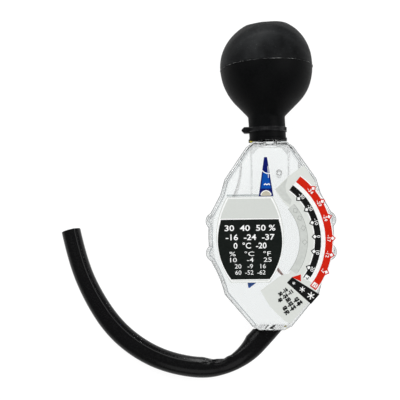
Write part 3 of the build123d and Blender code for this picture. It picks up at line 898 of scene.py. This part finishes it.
@dataclass
class Hose:
    """Pick-up hose, kinked below its flat seat at the case and cut off square at its free end.

    Its sizes are in metres in the row's frame, and its places are shares of its length. A range
    is where a change starts and ends, or its middle and its spread. A crease is its reach and its
    power, and the fold is a share and an angle, both for its place and for its size.
    """

    diameter: float = 0.011
    wall: float = 0.0023
    length: float = 0.15562
    sides: int = 80
    bored_points: int = 12
    slant_fade: float = 0.013
    near_spread: float = 0.1
    near_range: tuple = (0.06, -0.04)
    middle_spread: float = 0.05
    middle_range: tuple = (0.5, 0.25)
    free_spread: float = -0.05
    free_range: tuple = (0.6, 0.85)
    kink_spread: float = 0.03
    kink_sink: float = 0.12
    kink_share: float = 0.188
    kink_reach: float = 0.04
    crease: float = 0.0044
    crease_before: tuple = (0.12, 1.05)
    crease_after: tuple = (0.085, 1.3)
    crease_round: float = 1.5
    fold_lip: float = 0.0006
    fold_place: tuple = (0.014, 58.0)
    fold_size: tuple = (0.032, 26.0)
    fold_edge: float = 0.3
    ridge: float = 0.0006
    ridge_angle: float = 67.0
    ridge_width: float = 4.0
    ridge_range: tuple = (0.25, 0.32)
    ground_range: tuple = (0.16, 0.27)
    curve_steps: int = 24
    route: tuple = (
        (-0.0022, -0.08001, 0.00992), (-0.00545, -0.08366, 0.00952), (-0.0134, -0.09195, 0.0085),
        (-0.0241, -0.0973, 0.0069), (-0.0357, -0.101, 0.00555), (-0.05535, -0.0978, 0.00555),
        (-0.0716, -0.09035, 0.00555), (-0.086, -0.0783, 0.00555), (-0.09755, -0.0609, 0.00555),
        (-0.1058, -0.04195, 0.00555), (-0.10975, -0.0249, 0.00555),
    )

    def line(self) -> list:
        """Reads the points that the hose follows from its route's smooth curve.

        Returns:
            The points in order from the case to the free end.
        """
        curve = bpy.data.curves.new("hose_line", "CURVE")
        curve.dimensions = "3D"
        curve.resolution_u = self.curve_steps
        spline = curve.splines.new("NURBS")
        spline.points.add(len(self.route) - 1)
        for point, place in zip(spline.points, self.route):
            point.co = (*place, 1.0)
        spline.order_u = 3
        spline.use_endpoint_u = True
        mesh = mesh_of(curve)
        points = [v.co.copy() for v in mesh.vertices]
        bpy.data.meshes.remove(mesh)
        return points

    def section(self, share: float) -> tuple:
        """Half width and half height of the hose at a share of its length.

        Args:
            share: The share, 0 at the case and 1 at the free end.

        Returns:
            The half width and the half height.
        """
        spread = self.near_spread * step(share, *(self.kink_share + end for end in self.near_range))
        spread += self.middle_spread * bell(share, *self.middle_range)
        spread += self.free_spread * step(share, *self.free_range)
        kink = bell(share, self.kink_share, self.kink_reach)
        radius = self.diameter / 2
        width = radius * (1 + spread + self.kink_spread * kink)
        return width, radius * (1 - max(spread, 0.0) - self.kink_sink * kink)

    def folded(self, share: float, place: Vector) -> Vector:
        """Dents a point of the tube's outside where the hose is kinked.

        Args:
            share: Share of the hose's length.
            place: The point on a circle of radius 1, its X towards the inside of the bend.

        Returns:
            The moved point.
        """
        reach, power = self.crease_before if share < self.kink_share else self.crease_after
        fold = max(0.0, 1 - abs(share - self.kink_share) / reach) ** power
        angle = math.degrees(math.atan2(place.y, place.x))
        crest = self.ridge * bell(angle, self.ridge_angle, self.ridge_width) * step(share, *self.ridge_range)
        along = (share - self.kink_share - self.fold_place[0]) / self.fold_size[0]
        around = (angle - self.fold_place[1]) / self.fold_size[1]
        crest += self.fold_lip * bell(math.hypot(along, around), 1.0, self.fold_edge)
        scale = 2 / self.diameter
        grown = place * (1 + crest * scale)
        dent = self.crease * scale * fold * max(0.0, place.x) ** self.crease_round
        return Vector((grown.x - dent, grown.y, 0.0))

    def build(self) -> None:
        """Builds the hose as a tube along its line."""
        points = self.line()
        bm = bmesh.new()
        ring = bmesh.ops.create_circle(bm, segments=self.sides, radius=1.0, cap_ends=True)["verts"]
        unit = [v.co.copy() for v in ring]
        edges = [e for e in bm.edges if len(e.link_faces) == 1]
        for count, (index, bored) in enumerate(self.stations(len(points))):
            if count:
                grown = bmesh.ops.extrude_edge_only(bm, edges=edges)["geom"]
                fresh = {g for g in grown if isinstance(g, BMVert)}
                edges = [g for g in grown if isinstance(g, BMEdge) and set(g.verts) <= fresh]
                ring = [next(e.other_vert(v) for e in v.link_edges if e.other_vert(v) in fresh) for v in ring]
            self.lay_ring(ring, unit, points, index, bored)
        bmesh.ops.edgeloop_fill(bm, edges=edges)
        piece = laid_down(bm, "pickup_hose", HOSE_RUBBER, smooth=True, turn=False)
        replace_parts(piece, "hose")

    def stations(self, count: int) -> list:
        """Rings of the tube in order: out of one bore, along the outside and into the other.

        Args:
            count: How many points the line has.

        Returns:
            The point that each ring stands at, and whether it lies in the bore.
        """
        first = [(i, True) for i in range(self.bored_points, -1, -1)]
        last = [(i, True) for i in range(count - 1, count - 2 - self.bored_points, -1)]
        return first + [(i, False) for i in range(count)] + last

    def lay_ring(self, ring: list, unit: list, points: list, index: int, bored: bool) -> None:
        """Moves one ring of vertices to its place on the line.

        Args:
            ring: The vertices.
            unit: Their places on a circle of radius 1.
            points: The line.
            index: The point of the line that the ring stands at.
            bored: Whether the ring lies in the bore.
        """
        way = way_at(points, index)
        across = way.cross(UP).normalized()
        over = across.cross(way).normalized()
        runs = [(b - a).length for a, b in zip(points, points[1:])]
        share = sum(runs[:index]) / sum(runs)
        width, height = self.section(share)
        middle = points[index] - UP * (self.diameter / 2 - height) * step(share, *self.ground_range)
        if bored:
            width = height = self.diameter / 2 - self.wall
        slant = 1 - step(share * self.length, 0.0, self.slant_fade)
        for v, round_place in zip(ring, unit):
            place = round_place if bored else self.folded(share, round_place)
            out = across * place.x * width + over * place.y * height
            v.co = middle + out - way * (out.dot(ALONG_CASE) / way.dot(ALONG_CASE)) * slant


# Printing

UNDER = -0.02
FILM_LIFT = 0.02
RING_STEP = 2.0
TYPE_STEPS = 3
TYPE_MERGE = 0.0005


class Layer:
    """One colour of a label's printing: thin plates, their heights measured from the film's surface."""

    def __init__(self) -> None:
        """Starts empty."""
        self.bm = bmesh.new()

    def shape(self, points: list | tuple, low: float, high: float) -> None:
        """Adds a flat shape."""
        prism(self.bm, points, SURFACE + low, SURFACE + high)

    def ring(self, reaches: tuple, angles: tuple, low: float, high: float) -> None:
        """Adds part of a ring about the pivot.

        Args:
            reaches: Its inner and its outer radius.
            angles: Where it starts and where it ends, in degrees.
            low: Height of its underside.
            high: Height of its top.
        """
        first, last = angles
        ends = [self.bm.verts.new(polar(reach, first)) for reach in reaches]
        edge = self.bm.edges.new(ends)
        before = set(self.bm.faces)
        bmesh.ops.spin(
            self.bm, geom=ends + [edge], cent=PIVOT, axis=UP, angle=math.radians(last - first),
            steps=max(2, round(abs(last - first) / RING_STEP)),
        )
        plate(self.bm, [f for f in self.bm.faces if f not in before], SURFACE + low, SURFACE + high)

    def diamond(self, reach: float, angle: float, size: float, low: float, high: float) -> None:
        """Adds a diamond, its corners along and across the scale."""
        centre = polar(reach, angle)
        self.shape([centre + heading(angle + turn) * size for turn in (0, 90, 180, 270)], low, high)

    def bar(self, centre: Vector, angle: float, half_size: tuple, low: float, high: float) -> None:
        """Adds a rectangle at an angle.

        Args:
            centre: Its middle.
            angle: Its turn in degrees.
            half_size: Its half length and half width.
            low: Height of its underside.
            high: Height of its top.
        """
        along, up = heading(angle) * half_size[0], heading(angle + 90) * half_size[1]
        corners = [centre - along - up, centre + along - up, centre + along + up, centre - along + up]
        self.shape(corners, low, high)

    def stroke(self, points: list | tuple, half: float, low: float, high: float) -> None:
        """Adds a line of even width through points."""
        line = [Vector((x, y, 0)) for x, y in points]
        plate(self.bm, ribbon(self.bm, line, -half, half), SURFACE + low, SURFACE + high)

    def number(self, words: str, size: float, place: Vector, angle: float, low: float, high: float,
               widen: float = 1.0, weight: float = 0.0, span: float = 0.0) -> None:
        """Adds a number.

        Args:
            words: The number.
            size: Height of the type.
            place: Its middle.
            angle: Its turn in degrees.
            low: Height of its underside.
            high: Height of its top.
            widen: How much wider than drawn it is set.
            weight: How much its strokes are thickened.
            span: Width that it is set to fill, in place of widen, or 0.
        """
        curve = bpy.data.curves.new("number", "FONT")
        curve.body = words
        curve.size = size
        curve.offset = weight
        curve.resolution_u = TYPE_STEPS
        curve.align_x = "CENTER"
        curve.align_y = "CENTER"
        flat = mesh_of(curve)
        letters = bmesh.new()
        letters.from_mesh(flat)
        bmesh.ops.remove_doubles(letters, verts=letters.verts, dist=size * TYPE_MERGE)
        plate(letters, list(letters.faces), SURFACE + low, SURFACE + high)
        if span > 0:
            sides = [v.co.x for v in letters.verts]
            widen = span / (max(sides) - min(sides))
        turn = Matrix.Translation((place[0], place[1], 0)) @ Matrix.Rotation(math.radians(angle), 4, "Z")
        bmesh.ops.transform(letters, matrix=turn @ Matrix.Diagonal((widen, 1, 1, 1)), verts=letters.verts)
        letters.to_mesh(flat)
        letters.free()
        self.bm.from_mesh(flat)
        bpy.data.meshes.remove(flat)


def ribbon(bm: BMesh, line: list, first: float, last: float) -> list:
    """Adds a flat strip along an open line.

    Args:
        bm: The mesh.
        line: The line's points.
        first: How far the strip's first side lies to the right of the line.
        last: How far its other side does.

    Returns:
        The new faces.
    """
    pairs = []
    for i, here in enumerate(line):
        way = way_at(line, i)
        aside = Vector((way.y, -way.x, 0))
        pairs.append([bm.verts.new(here + aside * reach) for reach in (first, last)])
    return [bm.faces.new((a[0], a[1], b[1], b[0])) for a, b in zip(pairs, pairs[1:])]


def lay_film(node: str, name: str, finish: Finish | Ink, matrix: Matrix | None = None) -> None:
    """Lays a label's film, which is its CAD solid with the underside lifted off the clear face.

    Args:
        node: Name of the label's node, which the film replaces.
        name: Name of the piece.
        finish: What it is made of.
        matrix: A change of its outline, or None.
    """
    bm = case_copy(node)
    under = [v for v in bm.verts if v.co.z < FACE + LABEL / 2]
    bmesh.ops.translate(bm, vec=(0, 0, FILM_LIFT), verts=under)
    if matrix:
        bmesh.ops.transform(bm, matrix=matrix, verts=bm.verts)
    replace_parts(laid_down(bm, name, finish), node)


@dataclass(frozen=True)
class Barrel:
    """A barrel-shaped outline."""

    x: float
    top: float
    foot: float
    top_width: float
    foot_width: float
    bulge: float
    taper: float

    def points(self, inset: float) -> list:
        """Gives its points when it is drawn inwards.

        Args:
            inset: How far it is drawn inwards.

        Returns:
            The points, anticlockwise from the upper left corner.
        """
        trim = self.taper * inset
        above, below = (self.top_width - trim) / 2, (self.foot_width - trim) / 2
        top, foot = self.top - inset, self.foot + inset
        left = bowed((self.x - above, top), self.bulge, (self.x - below, foot))
        right = bowed((self.x + below, foot), self.bulge, (self.x + above, top))
        return [*left, (self.x - below, foot), *right, (self.x + above, top)]


@dataclass
class NameLabel:
    """Barrel-shaped label: pale film, white rim and a dark panel with a plain number table.

    A row of its table is the words, their place along the case and their width.
    """

    outline: Barrel = Barrel(-11.2, 20.6, -25.0, 24.6, 20.6, 6.7, 2.3)
    panel: Barrel = Barrel(-11.2, 8.6, -23.2, 30.6, 20.4, 4.0, 2.0)
    rim_inset: float = 0.3
    ground_inset: float = 0.85
    border: float = 0.55
    heavy: tuple = (("30  40  50 %", 3.9, 27.0), ("-16  -24  -37", -1.0, 26.0), ("0  °C  -20", -5.5, 17.5))
    light: tuple = (
        ("%   °C   °F", -9.8, 22.0), ("10    -4    25", -13.0, 22.0), ("20   -9   16", -16.4, 16.5),
        ("60  -52  -62", -19.7, 16.0),
    )
    heavy_type: tuple = (4.3, 0.07)
    light_type: tuple = (3.3, 0.01)

    def build(self) -> None:
        """Builds the label and its printing: shares of the mixture above, temperatures below."""
        lay_film("name_label", "name_film", NAME_PAPER)
        for name, finish, barrel, inset, low, high in (
            ("name_rim", Ink.WHITE, self.outline, self.rim_inset, UNDER, 0.01),
            ("name_ground", NAME_PAPER, self.outline, self.ground_inset, UNDER, 0.02),
            ("panel_border", Ink.WHITE, self.panel, -self.border, UNDER, 0.03),
            ("panel", Ink.PANEL, self.panel, 0.0, 0.0, 0.04),
        ):
            layer = Layer()
            layer.shape(barrel.points(inset), low, high)
            laid_down(layer.bm, name, finish)
        layer = Layer()
        for rows, (size, weight) in ((self.heavy, self.heavy_type), (self.light, self.light_type)):
            for words, y, span in rows:
                place = Vector((self.panel.x, y, 0))
                layer.number(words, size, place, 0, 0.02, 0.07, weight=weight, span=span)
        laid_down(layer.bm, "panel_numbers", Ink.WHITE)


@dataclass(frozen=True)
class Band:
    """One coloured band of the scale, with diamonds on one edge, their numbers and a unit box.

    A mark is its angle and its number.
    """

    name: str
    ink: Ink
    reaches: tuple
    angles: tuple
    edge: float
    row: float
    marks: tuple
    unit: str
    unit_reach: float
    unit_angle: float


BLACK_BAND = Band(
    "black", Ink.BLACK, (33.3, 36.6), (-36.5, 52.8), 33.3, 35.3,
    ((41.2, "-30"), (28.8, "-20"), (15.8, "-10"), (2.75, "0"), (-10.7, "10"), (-26.2, "20")),
    "°F", 35.2, -34.9,
)
RED_BAND = Band(
    "red", Ink.RED, (38.9, 42.7), (-38.8, 52.4), 42.7, 40.6,
    ((39.7, "-34"), (28.4, "-29"), (16.5, "-24"), (0.9, "-17"), (-11.0, "-12"), (-23.8, "-7")),
    "°C", 40.8, -36.1,
)


@dataclass
class ScaleLabel:
    """Crescent label with a black and a red temperature scale about the pivot.

    A note is its words and their width, and a star is a share of the stars' line and a size.
    """

    bands: tuple = (BLACK_BAND, RED_BAND)
    whites: tuple = (
        ((36.4, 39.1), (-36.0, 52.6)), ((42.5, 43.25), (-38.9, 52.6)), ((32.75, 33.5), (-36.4, 52.6))
    )
    inner_reaches: tuple = (25.5, 29.4)
    inner_angles: tuple = (-38.0, 40.5)
    hairlines: tuple = (((25.3, 25.5), (-41.0, 41.0)), ((29.4, 29.6), (-36.0, 40.5)))
    corner: tuple = (
        (2.9, 24.4), (9.3, 30.5), (8.0, 26.0), (8.4, 23.0), (11.3, 18.6), (10.4, 16.0), (6.8, 18.8)
    )
    ghosts: tuple = (34.0, 24.5, 13.0, -2.5)
    ghost_reach: float = 28.0
    ghost_sizes: tuple = (1.5, 1.2)
    diamond_sizes: tuple = (1.75, 1.0)
    number_size: float = 2.5
    number_widen: float = 1.1
    number_weight: float = 0.03
    unit_box: tuple = (1.35, 1.25)
    unit_size: float = 2.2
    unit_weight: float = 0.05
    box: tuple = ((10.8, -22.3), (8.1, -25.2), (20.6, -36.6), (25.2, -31.5))
    arrow: tuple = ((10.7, -22.3), (15.5, -24.6), (15.5, -20.9))
    star_line: tuple = ((9.6, -23.9), (22.7, -33.8))
    stars: tuple = ((0.16, 0.9), (0.5, 1.5), (0.84, 2.0))
    star_turns: tuple = (20, 80, 140)
    star_arm: float = 0.13
    star_lift: float = 0.002
    notes: tuple = (
        ("30 -16", 5.6), ("40 -24 -11", 9.4), ("50", 2.8), ("60 -52 -62", 10.4), ("70 -64 -84", 11.4)
    )
    note_start: tuple = (6.0, -30.2)
    note_step: tuple = (1.33, -2.08)
    note_turn: float = 36.0
    note_weight: float = 0.2

    def build(self) -> None:
        """Builds the label and its printing."""
        lay_film("scale_label", "scale_film", PAPER)
        self.inner_band()
        self.coloured_bands()
        self.marks()
        self.freeze_box()
        self.note_rows()

    @staticmethod
    def lay(layer: Layer, name: str, ink: Ink) -> None:
        """Lays a layer of the printing."""
        laid_down(layer.bm, name, ink)

    def inner_band(self) -> None:
        """Lays a greyer band along the inner edge, with faint diamonds on it."""
        layer = Layer()
        layer.ring(self.inner_reaches, self.inner_angles, UNDER, 0.015)
        layer.shape(self.corner, UNDER, 0.01)
        self.lay(layer, "scale_inner_band", Ink.BAND)
        hair, ghost = Layer(), Layer()
        for reaches, angles in self.hairlines:
            hair.ring(reaches, angles, UNDER, 0.02)
        for angle in self.ghosts:
            hair.diamond(self.ghost_reach, angle, self.ghost_sizes[0], 0.0, 0.02)
            ghost.diamond(self.ghost_reach, angle, self.ghost_sizes[1], 0.0, 0.03)
        self.lay(hair, "scale_hairlines", Ink.HAIRLINE)
        self.lay(ghost, "scale_ghost_marks", Ink.BAND)

    def coloured_bands(self) -> None:
        """Prints the two coloured bands, with the white between and beside them."""
        layer = Layer()
        for reaches, angles in self.whites:
            layer.ring(reaches, angles, UNDER, 0.02)
        self.lay(layer, "scale_white", Ink.WHITE)
        for band in self.bands:
            layer = Layer()
            layer.ring(band.reaches, band.angles, 0.0, 0.04)
            for angle, _ in band.marks:
                layer.diamond(band.edge, angle, self.diamond_sizes[0], -0.01, 0.045)
            self.lay(layer, f"scale_{band.name}_band", band.ink)

    def marks(self) -> None:
        """Prints the white diamonds, the numbers and the two unit boxes."""
        layer = Layer()
        low, high = 0.02, 0.08
        for band in self.bands:
            for angle, words in band.marks:
                layer.diamond(band.edge, angle, self.diamond_sizes[1], low, high)
                layer.number(
                    words, self.number_size, polar(band.row, angle), angle - 90, low, high,
                    self.number_widen, self.number_weight,
                )
        for band in self.bands:
            layer.bar(polar(band.unit_reach, band.unit_angle), band.unit_angle, self.unit_box, low, high)
        self.lay(layer, "scale_white_marks", Ink.WHITE)
        for band in self.bands:
            layer = Layer()
            place = polar(band.unit_reach, band.unit_angle)
            layer.number(
                band.unit, self.unit_size, place, band.unit_angle - 90, 0.06, 0.12, weight=self.unit_weight
            )
            self.lay(layer, f"unit_{band.name}", band.ink)

    def freeze_box(self) -> None:
        """Prints the dark box below the scales, with three frost stars, and the red arrow."""
        for name, ink, points, high in (
            ("freeze_box", Ink.BLACK, self.box, 0.05), ("freeze_arrow", Ink.RED, self.arrow, 0.06)
        ):
            layer = Layer()
            layer.shape(points, 0.0, high)
            self.lay(layer, name, ink)
        layer = Layer()
        start, end = (Vector((*point, 0.0)) for point in self.star_line)
        for share, size in self.stars:
            for count, turn in enumerate(self.star_turns):
                arm = (size, size * self.star_arm)
                layer.bar(start.lerp(end, share), turn, arm, 0.03, 0.09 + count * self.star_lift)
        self.lay(layer, "frost_stars", Ink.WHITE)

    def note_rows(self) -> None:
        """Prints five rows of plain numbers: shares of the mixture and temperatures."""
        layer = Layer()
        for i, (words, span) in enumerate(self.notes):
            place = Vector(self.note_start) + Vector(self.note_step) * i
            layer.number(
                words, self.number_size, place, self.note_turn, 0.0, 0.05, weight=self.note_weight, span=span
            )
        self.lay(layer, "note_numbers", Ink.BLACK)


@dataclass
class LevelLabel:
    """Blue arrow that marks how high the tester is filled, with white print strokes, two white strokes of
    painted highlight and its window, as arcs and lines.
    """

    x: float = -2.35
    foot: float = 20.8
    width: float = 7.8
    tip_width: float = 1.6
    length: float = 21.0
    widen: float = 1.15
    film_x: float = -2.0
    blue: tuple = (0.2, 0.62)
    blue_trim: float = 0.65
    window_rise: float = 0.3
    window: tuple = (2.6, 0, 180, 20)
    rim: tuple = (2.75, 8, 172, 18)
    # Painted highlight: this white arc and the straight white stem below stand in for light that the front
    # shell reflects over the arrow.
    highlight_arc: tuple = ((-0.9, 37.1), 4.1, 205, 292, 14)
    stem: tuple = ((-0.95, 30.8), (-1.15, 37.0))
    wave: tuple = ((-3.4, 27.0), (-2.6, 27.5), (-1.8, 27.0), (-1.0, 27.5), (-0.2, 27.0))
    half_widths: tuple = (0.22, 0.16, 0.3, 0.25)

    def trimmed(self) -> list:
        """Corners of the light blue part of the arrow, trimmed from its two sides.

        Returns:
            The corners, anticlockwise.
        """
        low, high = self.blue
        corners = []
        for share, side in ((low, -1), (low, 1), (high, 1), (high, -1)):
            half = (self.width + (self.tip_width - self.width) * share) / 2 - self.blue_trim
            corners.append((self.x + side * half, self.foot + self.length * share))
        return corners

    def build(self) -> None:
        """Builds the label, its printing and its painted highlights."""
        grow = Matrix.Translation((self.x, 0, 0)) @ Matrix.Diagonal((self.widen, 1, 1, 1))
        matrix = grow @ Matrix.Translation((-self.film_x, 0, 0))
        lay_film("level_label", "level_film", Ink.NAVY, matrix)
        middle = (self.x, self.foot + self.window_rise)
        blue, strokes, window = Layer(), Layer(), Layer()
        blue.shape(self.trimmed(), UNDER, 0.02)
        # The first two lines, the arc and the stem, are painted highlights; the wave and the window's rim are
        # print.
        lines = (arc_points(*self.highlight_arc), self.stem, self.wave, arc_points(middle, *self.rim))
        for points, half in zip(lines, self.half_widths):
            strokes.stroke(points, half, -0.01, 0.04)
        window.shape(arc_points(middle, *self.window), 0.0, 0.03)
        laid_down(blue.bm, "level_blue", Ink.ROYAL)
        laid_down(strokes.bm, "level_print_and_painted_highlights", Ink.WHITE)
        laid_down(window.bm, "level_window", Ink.BEIGE)


# Case, float and stage


@dataclass
class ClearCase:
    """The two clear shells with the pivot pin, a grey rib of painted shadow above the name label, the weld,
    two grey lines of painted shade and specks of resin.

    A speck is its place and its radius, and its wave is a scale and a size.
    """

    shadow_rib: tuple = ((-23.4, 21.2), (-6.2, 21.2), (-6.2, 22.1), (-23.4, 22.1))
    shadow_rib_heights: tuple = (0.5, 8.15)
    specks: tuple = ((-9.6, 50.6, 5.0, 1.0), (6.9, -48.2, 6.0, 0.6), (-8.4, 50.4, 6.0, 0.6))
    speck_shape: tuple = (1.2, 0.6, 0.8)
    speck_wave: tuple = (1.7, 0.3)
    weld_width: float = 0.26
    edge_width: float = 0.24
    shade_line_inset: float = 2.0
    shade_line_width: float = 0.32
    line_ends: float = 47.0
    edge_heights: tuple = (FACE - 0.1, FACE + 0.02)
    shade_line_heights: tuple = (FACE - 0.05, FACE + 0.04)
    middle_gap: float = 0.01

    def build(self) -> None:
        """Dresses the shells and the pin, and adds what the moulding left on them, with the rib and lines of
        painted shadow and shade.
        """
        for node in ("front_shell", "rear_shell"):
            dress(node, CLEAR)
        dress("pivot_pin", STEEL)
        # Grey rib: painted shadow of the name label's top edge.
        bm = bmesh.new()
        prism(bm, self.shadow_rib, *self.shadow_rib_heights)
        laid_down(bm, "label_shadow_rib", RIB_PAINTED_SHADOW)
        self.weld_and_shade_lines()
        bm = bmesh.new()
        scale, size = self.speck_wave
        for x, y, z, radius in self.specks:
            made = bmesh.ops.create_icosphere(bm, subdivisions=3, radius=radius)["verts"]
            for v in made:
                v.co *= 1 + size * noise.noise(v.co * scale + Vector((x, y, z)))
            bmesh.ops.scale(bm, vec=self.speck_shape, verts=made)
            bmesh.ops.translate(bm, vec=(x, y, z), verts=made)
        laid_down(bm, "resin_specks", RESIN, smooth=True)

    def flank(self) -> list:
        """Follows the middle edge of the front shell along its right flank.

        Returns:
            The edge's points, upwards.
        """
        bm = case_copy("front_shell")
        away = [f for f in bm.faces if any(abs(v.co.z) > self.middle_gap for v in f.verts)]
        bmesh.ops.delete(bm, geom=away, context="FACES")
        start = max(bm.verts, key=lambda v: v.co.x)
        chains = []
        for edge in [e for e in start.link_edges if e.is_boundary]:
            chain = [start]
            while abs(chain[-1].co.y) < self.line_ends:
                chain.append(edge.other_vert(chain[-1]))
                edge = next(e for e in chain[-1].link_edges if e.is_boundary and e is not edge)
            chains.append([v.co.copy() for v in chain])
        chains.sort(key=lambda points: points[-1].y)
        bm.free()
        return chains[0][:0:-1] + chains[1]

    def weld_and_shade_lines(self) -> None:
        """Adds the weld along the middle of the wall, and two grey lines of painted shade along the edge of
        the face and inside it.
        """
        flank = self.flank()
        for name, finish, inset, width, heights in (
            ("weld_line", WELD_AND_EDGE_SHADE, 0.0, self.weld_width, (-self.weld_width, self.weld_width)),
            ("edge_painted_shade_line", WELD_AND_EDGE_SHADE, self.edge_width / 2, self.edge_width, self.edge_heights),
            ("face_painted_shade_line", FACE_LINE_SHADE, self.shade_line_inset, self.shade_line_width, self.shade_line_heights),
        ):
            bm = bmesh.new()
            for side in (1, -1):
                line = [Vector((p.x * side, p.y, 0.0)) for p in flank]
                first, last = side * (width / 2 - inset), side * (-width / 2 - inset)
                plate(bm, ribbon(bm, line, first, last), *heights)
            laid_down(bm, name, finish)


@dataclass
class FloatMechanism:
    """The float with its balance weight and pointer, float and pointer painted lighter as painted light
    inside the case.
    """

    finishes: tuple = (("float_vane", FLOAT_BLUE_PAINTED_LIGHT), ("balance_weight", BRASS), ("pointer", POINTER_RED_PAINTED_LIGHT))

    def build(self) -> None:
        """Dresses the moving pieces."""
        for node, finish in self.finishes:
            dress(node, finish)


@dataclass
class Studio:
    """White floor, plain lamps and the camera.

    A lamp is its name, place, size, power and aim.
    """

    camera_place: tuple = (-0.00343, -0.13532, 0.74503)
    aim: tuple = (-0.03841, -0.00948, 0.01002)
    roll: float = -0.325
    lens: float = 122.91
    sensor: float = 36.0
    near: float = 0.01
    floor_size: float = 3.0
    floor_glow: float = 0.93
    floor_tone: float = 0.16
    world_strength: float = 0.34
    lamps: tuple = (
        ("key", (-0.45, 0.55, 0.75), 0.5, 5.2, (0.0, 0.02, 0.02)),
        ("fill", (0.6, 0.15, 0.6), 0.5, 3.0, (0.0, 0.02, 0.02)),
        ("front", (-0.1, -0.8, 0.6), 0.6, 1.4, (-0.03, -0.05, 0.0)),
        ("crown", (-0.15, 0.95, 0.16), 0.4, 4.5, (0.0, 0.06, 0.03)),
    )

    def build(self) -> None:
        """Builds the stage, the lamps and the camera."""
        self.floor()
        self.world()
        self.light()
        self.camera()
        bpy.context.scene.view_settings.view_transform = "Standard"

    def floor(self) -> None:
        """Makes the floor, which reads white to the camera, to gloss and through the plastic."""
        bm = bmesh.new()
        bmesh.ops.create_grid(bm, x_segments=2, y_segments=2, size=self.floor_size / 2)
        mesh = mesh_from(bm, "floor")
        floor = linked("floor", mesh)
        material = bpy.data.materials.new("white_floor")
        material.use_nodes = True
        material.node_tree.nodes.clear()
        board = Board(material.node_tree)
        rays = board.add("ShaderNodeLightPath").outputs
        seen = board.math("MAXIMUM", rays["Is Camera Ray"], rays["Is Transmission Ray"])
        seen = board.math("MAXIMUM", seen, rays["Is Glossy Ray"])
        glow = board.add("ShaderNodeEmission", Strength=board.math("MULTIPLY", seen, self.floor_glow))
        matt = board.add("ShaderNodeBsdfDiffuse", Color=(*[self.floor_tone] * 3, 1.0))
        both = board.add("ShaderNodeAddShader")
        board.feed(both.inputs[0], matt.outputs[0])
        board.feed(both.inputs[1], glow.outputs[0])
        board.add("ShaderNodeOutputMaterial", Surface=both.outputs[0])
        mesh.materials.append(material)

    def world(self) -> None:
        """Makes a plain white world."""
        world = bpy.data.worlds.new("white_room")
        world.use_nodes = True
        board = Board(world.node_tree)
        seen = board.add("ShaderNodeLightPath").outputs["Is Camera Ray"]
        background = world.node_tree.nodes["Background"].inputs
        board.feed(background["Color"], (1.0, 1.0, 1.0, 1.0))
        board.feed(background["Strength"], board.ramp(seen, 0.0, 1.0, self.world_strength, 1.0))
        bpy.context.scene.world = world

    def light(self) -> None:
        """Adds the soft lamps."""
        for name, place, size, power, aim in self.lamps:
            lamp = bpy.data.lights.new(name, "AREA")
            lamp.shape = "SQUARE"
            lamp.size = size
            lamp.energy = power
            holder = linked(name, lamp)
            holder.location = place
            holder.rotation_euler = (Vector(place) - Vector(aim)).to_track_quat("Z", "Y").to_euler()

    def camera(self) -> None:
        """Sets the camera at the photograph's viewing angle."""
        lens = bpy.data.cameras.new("camera")
        lens.lens = self.lens
        lens.sensor_width = self.sensor
        lens.clip_start = self.near
        camera = linked("camera", lens)
        place = Vector(self.camera_place)
        back = (place - Vector(self.aim)).normalized()
        right = Vector((0, 1, 0)).cross(back).normalized()
        turn = Matrix((right, back.cross(right), back)).transposed().to_4x4()
        spin = Matrix.Rotation(math.radians(self.roll), 4, "Z")
        camera.matrix_world = Matrix.Translation(place) @ turn @ spin
        bpy.context.scene.camera = camera


def main() -> None:
    """Builds the tester's looks in order."""
    logging.basicConfig(level=logging.INFO, format="%(message)s")
    for kind in (
        Studio, Hose, Bulb, NeckTie, ClearCase, FloatMechanism, NameLabel, ScaleLabel, LevelLabel
    ):
        kind().build()
        LOG.info("built %s", kind.__name__)


if __name__ == "__main__":
    main()
